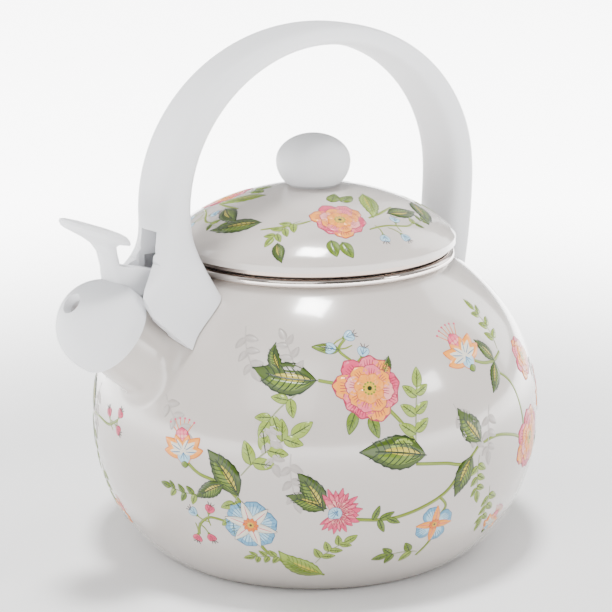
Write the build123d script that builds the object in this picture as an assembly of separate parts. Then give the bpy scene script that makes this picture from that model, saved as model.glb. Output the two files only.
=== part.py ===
from build123d import *
import math
import os

# Stovetop whistling kettle, in millimetres. The origin is the centre of the flat base's underside,
# +Z is up, the spout points to -X and the handle arch stands in the XZ plane.

# Globe of the body: an ellipse above the equator and a fuller superellipse below it
BODY_R = 100.0
EQUATOR_Z = 62.0
DOME_RISE = 83.4
BOWL_DEPTH = 80.0
BOWL_POWER = 2.43
BODY_SHEET = 1.2
BASE_CORNER_R = 5.0
MOUTH_Z = 129.0

# Rolled steel rim round the mouth
RIM_R = 62.3
RIM_HEIGHT = 3.9
RIM_WIDTH = 4.8
MOUTH_R = 58.4
RIM_SKIRT_DEPTH = 5.0
STEEL_SHEET = 0.7

# Spout and whistle cap share one slanted axis
CAP_CENTRE = (-111.4, 0.0, 115.9)
SPOUT_ANGLE = 39.5
SPOUT_TIP_R = 15.2
SPOUT_ROOT_R = 16.4
SPOUT_BORE_R = 13.4
SPOUT_TIP_S = -1.6
SPOUT_JOINT_S = -19.0
SPOUT_FILLET_R = 8.0

# Whistle cap, its arm, stem and thumb paddle
CAP_R = 19.4
CAP_WALL = 2.1
CAP_CLEARANCE = 1.1
SKIRT_END_S = -5.4
BLOW_HOLE_R = 3.2
BLOW_SINK_R = 4.6
BLOW_SINK_DEPTH = 0.7
WHISTLE_BORE_R = 8.0
WHISTLE_FLOOR_S = 14.0
WHISTLE_BACK_S = 8.4
PLATE_SHEET = 0.6
PLATE_HOLE_R = 1.1
SPACER_BORE_R = 6.2
RETAINER_BORE_R = 5.6
FRONT_PLATE_S = WHISTLE_FLOOR_S - PLATE_SHEET
SPACER_S = FRONT_PLATE_S - 2.2
REAR_PLATE_S = SPACER_S - PLATE_SHEET
ARM_HALF_WIDTH = 4.75
PADDLE_TILT = 21.0

# Hinge of the whistle cap
PIN_X = -80.0
PIN_Z = 131.0
PIN_R = 1.5
PIN_HALF_LENGTH = 9.5
PIN_CLEARANCE = 0.06
HUB_R = 4.1
KNUCKLE_INNER_Y = 2.9

# Lid
LID_R = 62.8
LID_EDGE_Z = 136.0
LID_SPRING_Z = 138.5
LID_RISE = 23.2
LID_POWER_R = 1.84
LID_POWER_Z = 1.37
LID_SHEET = 1.2
LID_RIM_R = 60.4
COLLAR_R = 56.2
COLLAR_DEPTH = 12.0
LID_GAP = 0.3

# Knob
KNOB_R = 16.4
KNOB_CENTRE_Z = 172.0
KNOB_TOP_Z = 184.0
KNOB_LOWER_RISE = 14.5
KNOB_BASE_Z = 162.2
GASKET_R = 10.6
SCREW_R = 2.0
CROSS_LENGTH = 4.4
CROSS_WIDTH = 0.9
INSERT_R = 3.4
INSERT_TOP_Z = 174.0
KNOB_SCREW_TOP_Z = 171.0
KNOB_SCREW_HEAD = 2.6
WASHER_R = 6.0
WASHER_SHEET = 0.8

# Handle arch and the hood that straddles the spout
ARCH_HALF_WIDTH = 79.5
ARCH_SPRING_Z = 159.0
ARCH_RISE = 68.6
ARCH_LEG_HALF = 8.0
ARCH_CROWN_HALF = 4.85
ARCH_HALF_DEPTH = 12.7
ARCH_POWER = 3.0
LEG_LEAN = 3.4
REAR_FOOT_Z = 100.0
SLOT_HALF_WIDTH = 5.5
SLOT_TOP_Z = 153.0
VALLEY_ROOT_X = -89.0
VALLEY_TIP = (-110.3, 22.0)

# Brackets welded to the shoulder, inside the handle's two feet
BRACKET_SHEET = 1.2
BRACKET_HALF_WIDTH = 7.2
BRACKET_TOP_Z = 146.0
REAR_BRACKET_TOP_Z = 134.0
EAR_TOP_Z = 141.2
EAR_FRONT_X = -86.0
FRONT_PLATE_X = -74.6
REAR_PLATE_X = 75.6
FRONT_SCREW_Z = 141.8
REAR_SCREW_Z = 127.0
BODY_GAP = 0.5
POCKET_FIT = 0.2
SCREW_HEAD_R = 3.3
SCREW_SEAT_X = 71.6

SPOUT_DIRECTION = Vector(-math.cos(math.radians(SPOUT_ANGLE)), 0, math.sin(math.radians(SPOUT_ANGLE)))
SPOUT_PLANE = Plane(origin=CAP_CENTRE, x_dir=(0, 1, 0), z_dir=SPOUT_DIRECTION)


def turned(points):
    """Solid of revolution about Z of a closed outline of (radius, height) points."""
    corners = [(r, 0, z) for r, z in points]
    return revolve(make_face(Polyline(*corners, close=True)), Axis.Z)


def ring(inner, outer, low, high):
    """Plain ring about Z."""
    return turned([(inner, low), (outer, low), (outer, high), (inner, high)])


def rod(radius, start, end):
    """Cylinder between two points."""
    start, end = Vector(*start), Vector(*end)
    plane = Plane(origin=start, z_dir=end - start)
    return plane * Cylinder(radius, (end - start).length, align=(Align.CENTER, Align.CENTER, Align.MIN))


def block(low, high):
    """Box between two opposite corners."""
    size = [b - a for a, b in zip(low, high)]
    return Pos(*low) * Box(*size, align=(Align.MIN, Align.MIN, Align.MIN))


def side_prism(points, half_width):
    """Outline of (x, z) points made as thick as twice half_width, about the plane Y = 0."""
    face = make_face(Polyline(*[(x, 0, z) for x, z in points], close=True))
    return extrude(face, amount=half_width, dir=(0, 1, 0), both=True)


def globe_radius(z, grow=0.0):
    """Outer radius of the globe at a height, with its surface moved outward by grow."""
    radius = BODY_R + grow
    if z >= EQUATOR_Z:
        return radius * math.sqrt(1 - ((z - EQUATOR_Z) / (DOME_RISE + grow)) ** 2)
    share = ((EQUATOR_Z - z) / (BOWL_DEPTH + grow)) ** BOWL_POWER
    return radius * (1 - share) ** (1 / BOWL_POWER)


def globe(grow, low, high, steps=8):
    """Solid globe between two heights."""
    bowl = [low + (EQUATOR_Z - low) * i / steps for i in range(steps)]
    dome = [EQUATOR_Z + (high - EQUATOR_Z) * i / steps for i in range(steps + 1)]
    wall = Spline(*[(globe_radius(z, grow), 0, z) for z in bowl + dome])
    top, bottom = wall @ 1, wall @ 0
    ends = Polyline(top, (0, 0, high), (0, 0, low), bottom)
    return revolve(make_face(wall + ends), Axis.Z)


def body_skin(grow=0.0):
    """Solid globe with the root of the spout drawn out of it, its surface moved outward by grow."""
    root_s = -45.0
    taper = 0.6
    stub = Cone(SPOUT_ROOT_R + taper + grow, SPOUT_ROOT_R + grow, SPOUT_JOINT_S - root_s,
                align=(Align.CENTER, Align.CENTER, Align.MIN))
    joined = globe(grow, -grow, MOUTH_Z) + SPOUT_PLANE * Pos(0, 0, root_s) * stub
    seam = [e for e in joined.edges()
            if e.geom_type not in (GeomType.CIRCLE, GeomType.LINE) and e.center().X < -60]
    return fillet(seam, SPOUT_FILLET_R - grow)


def kettle_body():
    skin = body_skin()
    base_edge = skin.edges().filter_by(GeomType.CIRCLE).sort_by(Axis.Z)[0]
    skin = fillet(base_edge, BASE_CORNER_R)
    hollow = globe(-BODY_SHEET, BODY_SHEET, MOUTH_Z)
    bore = Cylinder(SPOUT_BORE_R, 60, align=(Align.CENTER, Align.CENTER, Align.MIN))
    bore = SPOUT_PLANE * Pos(0, 0, -50) * bore
    return skin - hollow - bore - ring(0, MOUTH_R, 110, MOUTH_Z)


def spout():
    tube = [(SPOUT_BORE_R, SPOUT_JOINT_S), (SPOUT_ROOT_R, SPOUT_JOINT_S), (SPOUT_TIP_R, SPOUT_TIP_S - 1.0),
            (SPOUT_TIP_R - 0.5, SPOUT_TIP_S), (SPOUT_BORE_R, SPOUT_TIP_S)]
    return SPOUT_PLANE * turned(tube)


def mouth_rim():
    low, high = MOUTH_Z, MOUTH_Z + RIM_HEIGHT
    bead = ring(RIM_R - RIM_WIDTH, RIM_R, low, high)
    bead = fillet(bead.edges().filter_by(GeomType.CIRCLE), RIM_HEIGHT * 0.45)
    inner = RIM_R - RIM_WIDTH
    skirt = ring(inner, inner + STEEL_SHEET, low - RIM_SKIRT_DEPTH, low + RIM_HEIGHT / 2)
    return bead + skirt


def shoulder_slab(x_range, half_width, low=0.0, high=BRACKET_SHEET):
    """Strip that follows the globe's shoulder, between two offsets from its surface."""
    slab = globe(high, EQUATOR_Z - 5, MOUTH_Z) - globe(low, EQUATOR_Z - 6, MOUTH_Z + 1)
    return slab & block((x_range[0], -half_width, 80), (x_range[1], half_width, MOUTH_Z))


def front_bracket():
    """Upright plate whose two ears reach forward on either side of the slot and carry the hinge pin."""
    back = block((FRONT_PLATE_X, -BRACKET_HALF_WIDTH, 110),
                 (FRONT_PLATE_X + BRACKET_SHEET, BRACKET_HALF_WIDTH, BRACKET_TOP_Z))
    ear = side_prism([(EAR_FRONT_X, EAR_TOP_Z), (EAR_FRONT_X, 127), (-82, 123.5), (FRONT_PLATE_X, 119.5),
                      (FRONT_PLATE_X, EAR_TOP_Z)], BRACKET_HALF_WIDTH)
    ears = ear - block((-90, -SLOT_HALF_WIDTH, 100), (FRONT_PLATE_X, SLOT_HALF_WIDTH, 160))
    flange = shoulder_slab((FRONT_PLATE_X, -66.0), BRACKET_HALF_WIDTH)
    plate = (back - globe(0, 50, MOUTH_Z)) + ears + flange
    pin_hole = rod(PIN_R, (PIN_X, -20, PIN_Z), (PIN_X, 20, PIN_Z))
    screw_hole = rod(SCREW_R, (-90, 0, FRONT_SCREW_Z), (-60, 0, FRONT_SCREW_Z))
    return plate - pin_hole - screw_hole


def rear_bracket():
    plate = block((REAR_PLATE_X - BRACKET_SHEET, -BRACKET_HALF_WIDTH, 105),
                  (REAR_PLATE_X, BRACKET_HALF_WIDTH, REAR_BRACKET_TOP_Z))
    flange = shoulder_slab((67.5, REAR_PLATE_X), BRACKET_HALF_WIDTH)
    screw_hole = rod(SCREW_R, (60, 0, REAR_SCREW_Z), (90, 0, REAR_SCREW_Z))
    return (plate - globe(0, 50, MOUTH_Z)) + flange - screw_hole


def superellipse(power, steps, fine=720):
    """Unit superellipse as a list of points the same distance apart, starting on its first axis."""
    curve = []
    for i in range(fine + 1):
        angle = 2 * math.pi * i / fine
        c, s = math.cos(angle), math.sin(angle)
        curve.append((math.copysign(abs(c) ** (2 / power), c), math.copysign(abs(s) ** (2 / power), s)))
    lengths = [0.0]
    for a, b in zip(curve, curve[1:]):
        lengths.append(lengths[-1] + math.dist(a, b))
    return [curve[min(range(fine + 1), key=lambda k: abs(lengths[k] - lengths[-1] * i / steps))]
            for i in range(steps)]


def leg_x(z):
    """Distance of a leg's centreline from the kettle's axis: the legs lean in below the arch."""
    return ARCH_HALF_WIDTH - LEG_LEAN * (max(0.0, ARCH_SPRING_Z - z) / 40) ** 2


def arch_stations():
    """Centreline of the arch from the rear foot to the top of the hood: (x, z, tangent, half thickness)."""
    stations = []
    for i in range(5):
        z = REAR_FOOT_Z + (ARCH_SPRING_Z - REAR_FOOT_Z) * i / 5
        lean = 2 * LEG_LEAN * (ARCH_SPRING_Z - z) / 40 ** 2
        stations.append((leg_x(z), z, Vector(lean, 0, 1), ARCH_LEG_HALF))
    spans = 16
    for i in range(spans + 1):
        angle = math.pi * i / spans
        x, z = ARCH_HALF_WIDTH * math.cos(angle), ARCH_SPRING_Z + ARCH_RISE * math.sin(angle)
        tangent = Vector(-ARCH_HALF_WIDTH * math.sin(angle), 0, ARCH_RISE * math.cos(angle))
        side = math.cos(angle) ** 2
        stations.append((x, z, tangent, ARCH_LEG_HALF * side + ARCH_CROWN_HALF * (1 - side)))
    return stations


def arch_section(x, z, tangent, half):
    """Rounded cross-section of the arch at one station."""
    tangent = tangent.normalized()
    across = Vector(tangent.Z, 0, -tangent.X)
    points = [Vector(x, 0, z) + across * (half * u) + Vector(0, ARCH_HALF_DEPTH * v, 0)
              for u, v in superellipse(ARCH_POWER, 24)]
    return make_face(Spline(*points, periodic=True))


# Hood, from the leg down: height, front x, rear x, front half width, rear half width, squareness
HOOD_SECTIONS = [
    (153.0, -87.4, -71.3, 12.8, 12.9, 3.1),
    (145.0, -88.6, -70.1, 13.5, 14.2, 3.4),
    (138.0, -92.5, -68.2, 15.0, 16.4, 4.4),
    (130.0, -103.0, -65.2, 16.5, 19.4, 6.0),
    (122.0, -107.0, -61.8, 17.4, 21.8, 7.5),
    (96.0, -110.0, -52.0, 18.8, 24.6, 8.0),
]


def hood_section(z, front, rear, front_half, rear_half, power):
    """Horizontal cross-section of the hood: a rounded block that widens towards the body."""
    middle, half = (front + rear) / 2, (rear - front) / 2
    points = []
    for u, v in superellipse(power, 24):
        width = front_half + (rear_half - front_half) * (1 - u) / 2
        points.append((middle - half * u, width * v, z))
    return make_face(Spline(*points, periodic=True))


def handle_blank():
    """Arch and hood as one full solid, before anything is cut from it."""
    sections = [arch_section(*station) for station in arch_stations()]
    arch = loft(sections)
    leg = [arch_section(*arch_stations()[-1])]
    hood = loft(leg + [hood_section(*row) for row in HOOD_SECTIONS])
    front = [(-140, 175), (-96, 175), (-89.6, 140.0), (-102.5, 131.4), (-100.4, 126.4), (-98.4, 120.8),
             (-81.6, 104.2), (-72, 99), (-50, 99), (-50, 60), (-140, 60)]
    return arch + (hood - side_prism(front, 30))


def front_valley():
    """V-shaped clearance in the hood's front: its flanks run out from the slot's edges to the cheeks."""
    tip_x, tip_y = VALLEY_TIP
    corners = [(VALLEY_ROOT_X, -SLOT_HALF_WIDTH), (VALLEY_ROOT_X, SLOT_HALF_WIDTH), (tip_x, tip_y),
               (-140, tip_y), (-140, -tip_y), (tip_x, -tip_y)]
    return Pos(0, 0, 105) * extrude(make_face(Polyline(*corners, close=True)), amount=70)


def spout_tunnel():
    """Clearance under the hood for the spout, its flared root and the resting cap."""
    wide_r, narrow_r = CAP_R + CAP_CLEARANCE, SPOUT_ROOT_R + BODY_GAP
    tunnel = turned([(0, 30), (wide_r, 30), (wide_r, SKIRT_END_S - 2.6), (narrow_r, SKIRT_END_S - 5.6),
                     (narrow_r, SPOUT_JOINT_S - 1), (0, SPOUT_JOINT_S - 1)])
    return SPOUT_PLANE * tunnel


def cap_sweep():
    """Space that the cap's ball passes through as it swings up about the hinge pin."""
    reach = math.hypot(PIN_X - CAP_CENTRE[0], PIN_Z - CAP_CENTRE[2])
    plane = Plane(origin=(PIN_X, 0, PIN_Z), z_dir=(0, 1, 0))
    return plane * Torus(reach, CAP_R + CAP_CLEARANCE)


def bracket_pockets():
    """Recesses in the two feet that fit over the brackets."""
    side = BRACKET_HALF_WIDTH + POCKET_FIT
    back = FRONT_PLATE_X + BRACKET_SHEET + POCKET_FIT
    pockets = block((EAR_FRONT_X - POCKET_FIT, -side, 105), (back, side, EAR_TOP_Z + POCKET_FIT))
    pockets += block((FRONT_PLATE_X, -side, 105), (back, side, BRACKET_TOP_Z + POCKET_FIT))
    pockets += block((REAR_PLATE_X - BRACKET_SHEET - POCKET_FIT, -side, 90),
                     (REAR_PLATE_X + 4.0, side, REAR_BRACKET_TOP_Z + POCKET_FIT))
    for x_range in ((FRONT_PLATE_X, -65.0), (66.5, REAR_PLATE_X)):
        pockets += shoulder_slab(x_range, side, high=BRACKET_SHEET + POCKET_FIT)
    return pockets


def handle():
    solid = handle_blank()
    solid -= body_skin(BODY_GAP)
    solid -= front_valley()
    solid -= spout_tunnel()
    solid -= cap_sweep() & block((-170, -30, 60), (-88, 30, 165))
    solid -= block((-110, -SLOT_HALF_WIDTH, 105), (FRONT_PLATE_X, SLOT_HALF_WIDTH, SLOT_TOP_Z))
    solid -= bracket_pockets()
    solid -= hinge_pin()
    for side, z in ((-1, FRONT_SCREW_Z), (1, REAR_SCREW_Z)):
        solid -= rod(SCREW_R + 0.2, (side * 60, 0, z), (side * (SCREW_SEAT_X + 4.4), 0, z))
        solid -= rod(SCREW_HEAD_R + 0.3, (side * 60, 0, z), (side * SCREW_SEAT_X, 0, z))
    return solid


def handle_screws():
    """One screw for each foot, driven outward from the side that faces the lid."""
    screws = []
    for side, z in ((-1, FRONT_SCREW_Z), (1, REAR_SCREW_Z)):
        head = rod(SCREW_HEAD_R, (side * (SCREW_SEAT_X - 2.0), 0, z), (side * SCREW_SEAT_X, 0, z))
        head = chamfer(head.edges().filter_by(GeomType.CIRCLE).sort_by(lambda e: abs(e.center().X))[0], 0.7)
        shank = rod(SCREW_R, (side * (SCREW_SEAT_X - 0.6), 0, z), (side * (SCREW_SEAT_X + 5.9), 0, z))
        drive = Pos(side * (SCREW_SEAT_X - 1.6), 0, z) * Rot(0, 90, 0) * cross_drive(1.6)
        screws.append(head + shank - drive)
    return Compound(children=screws)


def hinge_pin():
    return rod(PIN_R, (PIN_X, -PIN_HALF_LENGTH, PIN_Z), (PIN_X, PIN_HALF_LENGTH, PIN_Z))


def return_spring():
    """Torsion spring round the pin, between the hub's two knuckles."""
    wire_r = 0.4
    coil_r = PIN_R + 1.0
    height = 2 * (KNUCKLE_INNER_Y - 0.8)
    path = Helix(pitch=1.05, height=height, radius=coil_r)
    section = Plane(origin=path @ 0, z_dir=path % 0) * Circle(wire_r)
    coil = sweep(section, path=path)
    frame = Plane(origin=(PIN_X, -height / 2, PIN_Z), z_dir=(0, 1, 0))
    return frame * coil


def cap_arm():
    """Bar from the ball and the stem back to the hub."""
    return side_prism([(-105.4, 130), (-106.2, 141.4), (-98, 139.2), (-82, 135.1), (-80, 135.0),
                       (-80, 127.2), (-84, 126.8), (-95, 127.4), (-98, 126)], ARM_HALF_WIDTH)


# Stem and paddle, from the arm up: centre x and z, tilt in degrees, half length, half width
PADDLE_OVALS = [
    (-105.6, 131.0, 0.0, 4.5, 5.1), (-107.0, 141.0, 3.0, 4.0, 4.7),
    (-108.4, 147.0, 7.0, 4.2, 4.7), (-109.8, 150.0, 13.0, 5.4, 5.6),
    (-111.0, 151.8, 17.0, 8.0, 7.6), (-112.1, 153.0, 20.0, 11.8, 10.6),
    (-112.8, 153.8, 21.0, 14.4, 12.7), (-113.3, 154.8, 21.0, 15.5, 13.5),
    (-113.9, 156.4, 21.0, 15.6, 13.6), (-114.4, 157.8, 21.0, 14.8, 12.8),
    (-114.8, 158.7, 21.0, 12.2, 10.5), (-115.0, 159.2, 21.0, 7.0, 6.0),
]


def stem_and_paddle():
    """Stem that swells into the oval thumb paddle, lofted through ovals that lean over as they rise."""
    ovals = []
    for x, z, tilt, along, across in PADDLE_OVALS:
        lean = math.radians(tilt)
        ahead = Vector(math.cos(lean), 0, -math.sin(lean))
        points = [Vector(x, across * v, z) + ahead * (along * u) for u, v in superellipse(2.0, 24)]
        ovals.append(make_face(Spline(*points, periodic=True)))
    return loft(ovals, ruled=True)


def whistle_cap():
    """Ball over the spout's tip with its arm, hub, stem and paddle; the whistle sits inside its nose."""
    ball = Sphere(CAP_R) - Pos(0, 0, -CAP_R) * Box(60, 60, 2 * CAP_R)
    skirt = Cone(CAP_R - 0.3, CAP_R, -SKIRT_END_S, align=(Align.CENTER, Align.CENTER, Align.MAX))
    solid = SPOUT_PLANE * (ball + skirt)
    solid += cap_arm()
    solid += rod(HUB_R, (PIN_X, -ARM_HALF_WIDTH, PIN_Z), (PIN_X, ARM_HALF_WIDTH, PIN_Z))
    solid += stem_and_paddle()
    inner_r = CAP_R - CAP_WALL
    shoulder_r = math.sqrt(inner_r ** 2 - WHISTLE_BACK_S ** 2)
    middle = math.atan2(WHISTLE_BACK_S, shoulder_r) / 2
    arc = ThreePointArc((inner_r, 0, 0), (inner_r * math.cos(middle), 0, inner_r * math.sin(middle)),
                        (shoulder_r, 0, WHISTLE_BACK_S))
    steps = [(shoulder_r, WHISTLE_BACK_S), (WHISTLE_BORE_R, WHISTLE_BACK_S),
             (WHISTLE_BORE_R, WHISTLE_FLOOR_S), (BLOW_HOLE_R, WHISTLE_FLOOR_S),
             (BLOW_HOLE_R, WHISTLE_FLOOR_S + 1.8), (BLOW_SINK_R, CAP_R - BLOW_SINK_DEPTH),
             (BLOW_SINK_R, CAP_R + 1), (0, CAP_R + 1),
             (0, SKIRT_END_S - 1), (inner_r, SKIRT_END_S - 1), (inner_r, 0)]
    walls = Polyline(*[(r, 0, s) for r, s in steps])
    chamber = revolve(make_face(arc + walls), Axis.Z)
    solid -= SPOUT_PLANE * chamber
    solid -= rod(PIN_R + PIN_CLEARANCE, (PIN_X, -20, PIN_Z), (PIN_X, 20, PIN_Z))
    solid -= block((-85.0, -KNUCKLE_INNER_Y, 120), (-70, KNUCKLE_INNER_Y, 142))
    return solid


def whistle_plate(low):
    """Dished metal disc with the small hole that makes the note."""
    rim, dish_r, dish = WHISTLE_BORE_R, 4.4, -1.0
    floor_r = dish_r + dish
    high = low + PLATE_SHEET
    outline = [(PLATE_HOLE_R, low + dish), (floor_r, low + dish), (dish_r, low), (rim, low), (rim, high),
               (dish_r - 0.3, high), (floor_r - 0.3, high + dish), (PLATE_HOLE_R, high + dish)]
    return SPOUT_PLANE * turned(outline)


def whistle_spacer():
    return SPOUT_PLANE * ring(SPACER_BORE_R, WHISTLE_BORE_R, SPACER_S, FRONT_PLATE_S)


def whistle_retainer():
    """Ring that snaps in behind the two whistle plates."""
    ring_solid = ring(RETAINER_BORE_R, WHISTLE_BORE_R, WHISTLE_BACK_S - 0.6, REAR_PLATE_S)
    flange = ring(RETAINER_BORE_R, WHISTLE_BORE_R + 1.6, WHISTLE_BACK_S - 1.6, WHISTLE_BACK_S)
    return SPOUT_PLANE * (ring_solid + flange)


def cap_seal():
    """Silicone ring inside the cap that closes on the spout's tip."""
    low = SPOUT_TIP_S + 0.3
    outer = CAP_R - CAP_WALL - 0.6
    inner = SPOUT_BORE_R - 0.8
    outline = [(inner, low), (outer - 0.9, low), (outer, low + 0.8), (outer, low + 2.6), (inner, low + 2.2)]
    return SPOUT_PLANE * turned(outline)


def lid_height(r, grow=0.0):
    """Height of the lid's outer surface at a radius, with the surface moved outward by grow."""
    share = min(1.0, r / (LID_R + grow))
    return LID_SPRING_Z + (LID_RISE + grow) * (1 - share ** LID_POWER_R) ** (1 / LID_POWER_Z)


def lid_solid(grow, low, steps=14):
    """Full solid of the lid's dome down to a height."""
    radius = LID_R + grow
    radii = [radius * math.sin(math.pi / 2 * i / steps) for i in range(steps + 1)]
    dome = Spline(*[(r, 0, lid_height(r, grow)) for r in radii], tangents=[(1, 0, 0), (0, 0, -1)])
    sides = Polyline((radius, 0, LID_SPRING_Z), (radius, 0, low), (0, 0, low), (0, 0, lid_height(0, grow)))
    return revolve(make_face(dome + sides), Axis.Z)


def lid_dome():
    shell = lid_solid(0, LID_EDGE_Z) - lid_solid(-LID_SHEET, LID_EDGE_Z - 1)
    return shell - rod(SCREW_R, (0, 0, 150), (0, 0, 170))


def lid_rim():
    """Bright steel rim under the lid's edge, which stands on the mouth's rim."""
    low = MOUTH_Z + RIM_HEIGHT + LID_GAP
    inner = COLLAR_R - STEEL_SHEET
    outline = [(inner, low), (LID_RIM_R - 0.6, low), (LID_RIM_R, low + 0.6), (LID_RIM_R, LID_EDGE_Z + 0.9),
               (LID_R - LID_SHEET, LID_EDGE_Z + 1.2), (LID_R - LID_SHEET, LID_EDGE_Z + 1.9),
               (LID_RIM_R - STEEL_SHEET, LID_EDGE_Z + 1.9), (LID_RIM_R - STEEL_SHEET, low + STEEL_SHEET),
               (inner, low + STEEL_SHEET)]
    return turned(outline)


def lid_collar():
    """Sheet-steel collar that drops into the mouth and centres the lid."""
    high = MOUTH_Z + RIM_HEIGHT + LID_GAP
    return ring(COLLAR_R - STEEL_SHEET, COLLAR_R, high - COLLAR_DEPTH, high)


def knob():
    steps = 8
    upper = [(KNOB_R * math.cos(math.pi / 2 * i / steps), 0,
              KNOB_CENTRE_Z + (KNOB_TOP_Z - KNOB_CENTRE_Z) * math.sin(math.pi / 2 * i / steps))
             for i in range(steps + 1)]
    lower = []
    for i in range(steps):
        z = KNOB_BASE_Z + (KNOB_CENTRE_Z - KNOB_BASE_Z) * i / steps
        lower.append((KNOB_R * math.sqrt(1 - ((KNOB_CENTRE_Z - z) / KNOB_LOWER_RISE) ** 2), 0, z))
    wall = Spline(*(lower + upper))
    ends = Polyline(wall @ 1, (0, 0, KNOB_BASE_Z), wall @ 0)
    ball = revolve(make_face(wall + ends), Axis.Z)
    return ball - ring(0, INSERT_R, KNOB_BASE_Z - 1, INSERT_TOP_Z)


def knob_insert():
    """Threaded brass insert moulded into the knob."""
    bore = rod(SCREW_R, (0, 0, 150), (0, 0, KNOB_SCREW_TOP_Z + 1))
    return ring(0, INSERT_R, KNOB_BASE_Z, INSERT_TOP_Z) - bore


def knob_gasket():
    """Heat-resisting washer between the knob and the lid."""
    pad = ring(SCREW_R, GASKET_R, 158, KNOB_BASE_Z)
    return pad - lid_solid(0, LID_EDGE_Z)


def knob_washer():
    top = lid_height(WASHER_R, -LID_SHEET)
    return ring(SCREW_R, WASHER_R, top - WASHER_SHEET, top)


def cross_drive(depth):
    """Cross-shaped recess of a screw head, centred on the origin."""
    return Box(CROSS_LENGTH, CROSS_WIDTH, depth) + Box(CROSS_WIDTH, CROSS_LENGTH, depth)


def knob_screw():
    seat = lid_height(WASHER_R, -LID_SHEET) - WASHER_SHEET
    head = ring(0, 4.0, seat - KNOB_SCREW_HEAD, seat)
    head = fillet(head.edges().filter_by(GeomType.CIRCLE).sort_by(Axis.Z)[0], 1.2)
    drive = Pos(0, 0, seat - KNOB_SCREW_HEAD) * cross_drive(2.4)
    return head + ring(0, SCREW_R, seat - 0.5, KNOB_SCREW_TOP_Z) - drive


def whistle_plate_front():
    return whistle_plate(FRONT_PLATE_S)


def whistle_plate_rear():
    return whistle_plate(REAR_PLATE_S)


PARTS = [
    kettle_body, spout, mouth_rim, front_bracket, rear_bracket, handle, handle_screws,
    hinge_pin, return_spring,
    lid_dome, lid_rim, lid_collar, knob, knob_insert, knob_gasket, knob_washer, knob_screw,
    whistle_cap, whistle_plate_front, whistle_plate_rear, whistle_spacer, whistle_retainer, cap_seal,
]

os.makedirs("parts", exist_ok=True)
for make in PARTS:
    export_step(make(), f"parts/{make.__name__}.step")
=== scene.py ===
import math
import random

import bpy
from mathutils import Matrix, Vector


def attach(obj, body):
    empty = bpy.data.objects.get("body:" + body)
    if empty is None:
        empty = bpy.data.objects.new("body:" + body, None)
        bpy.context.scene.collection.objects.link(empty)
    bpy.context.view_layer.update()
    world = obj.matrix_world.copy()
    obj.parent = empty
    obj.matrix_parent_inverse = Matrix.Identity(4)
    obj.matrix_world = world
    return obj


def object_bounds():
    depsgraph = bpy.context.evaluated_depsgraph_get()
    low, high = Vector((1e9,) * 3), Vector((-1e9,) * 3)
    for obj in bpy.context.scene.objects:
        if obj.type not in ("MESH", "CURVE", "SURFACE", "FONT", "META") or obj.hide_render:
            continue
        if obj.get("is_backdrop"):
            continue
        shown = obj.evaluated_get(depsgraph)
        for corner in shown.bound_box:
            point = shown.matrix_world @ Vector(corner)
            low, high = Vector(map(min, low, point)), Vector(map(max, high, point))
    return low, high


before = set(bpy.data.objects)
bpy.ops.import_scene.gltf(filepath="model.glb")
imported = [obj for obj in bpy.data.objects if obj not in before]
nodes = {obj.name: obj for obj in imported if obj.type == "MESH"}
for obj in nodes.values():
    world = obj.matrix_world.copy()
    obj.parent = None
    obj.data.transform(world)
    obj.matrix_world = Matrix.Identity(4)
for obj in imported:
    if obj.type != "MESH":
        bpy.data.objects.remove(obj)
bounds_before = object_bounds()
mm = 0.001

# ---------------------------------------------------------------- materials


def opaque(rgb):
    """Colour with full alpha."""
    return (rgb[0], rgb[1], rgb[2], 1.0)


BROAD_TO_FINE = 0.06


def material(name, colour, rough, metal=0.0, coat=0.0, coat_rough=0.1, grain=400.0, bump=0.02,
             bump_mm=0.02, tint=0.03, rough_swing=0.05, stretch=(1.0, 1.0, 1.0), spec=0.5):
    """Surface whose colour, roughness and relief all vary a little with noise in object space."""
    mat = bpy.data.materials.new(name)
    mat.use_nodes = True
    tree = mat.node_tree
    link = tree.links.new
    shader = tree.nodes["Principled BSDF"]
    shader.inputs["Metallic"].default_value = metal
    shader.inputs["Coat Weight"].default_value = coat
    shader.inputs["Coat Roughness"].default_value = coat_rough
    shader.inputs["Specular IOR Level"].default_value = spec
    place = tree.nodes.new("ShaderNodeTexCoord")
    scale = tree.nodes.new("ShaderNodeMapping")
    scale.inputs["Scale"].default_value = stretch
    link(place.outputs["Object"], scale.inputs["Vector"])
    fine = tree.nodes.new("ShaderNodeTexNoise")
    fine.inputs["Scale"].default_value = grain
    fine.inputs["Detail"].default_value = 4.0
    broad = tree.nodes.new("ShaderNodeTexNoise")
    broad.inputs["Scale"].default_value = grain * BROAD_TO_FINE
    broad.inputs["Detail"].default_value = 2.0
    link(scale.outputs["Vector"], fine.inputs["Vector"])
    link(scale.outputs["Vector"], broad.inputs["Vector"])
    shade = tree.nodes.new("ShaderNodeMix")
    shade.data_type = "RGBA"
    shade.inputs["A"].default_value = opaque([c * (1 - tint) for c in colour])
    shade.inputs["B"].default_value = opaque([min(1.0, c * (1 + tint)) for c in colour])
    link(broad.outputs["Fac"], shade.inputs["Factor"])
    link(shade.outputs["Result"], shader.inputs["Base Color"])
    swing = tree.nodes.new("ShaderNodeMapRange")
    swing.inputs["To Min"].default_value = max(0.02, rough - rough_swing)
    swing.inputs["To Max"].default_value = min(1.0, rough + rough_swing)
    link(fine.outputs["Fac"], swing.inputs["Value"])
    link(swing.outputs["Result"], shader.inputs["Roughness"])
    relief = tree.nodes.new("ShaderNodeBump")
    relief.inputs["Strength"].default_value = bump
    relief.inputs["Distance"].default_value = bump_mm * mm
    link(fine.outputs["Fac"], relief.inputs["Height"])
    link(relief.outputs["Normal"], shader.inputs["Normal"])
    return mat


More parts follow.
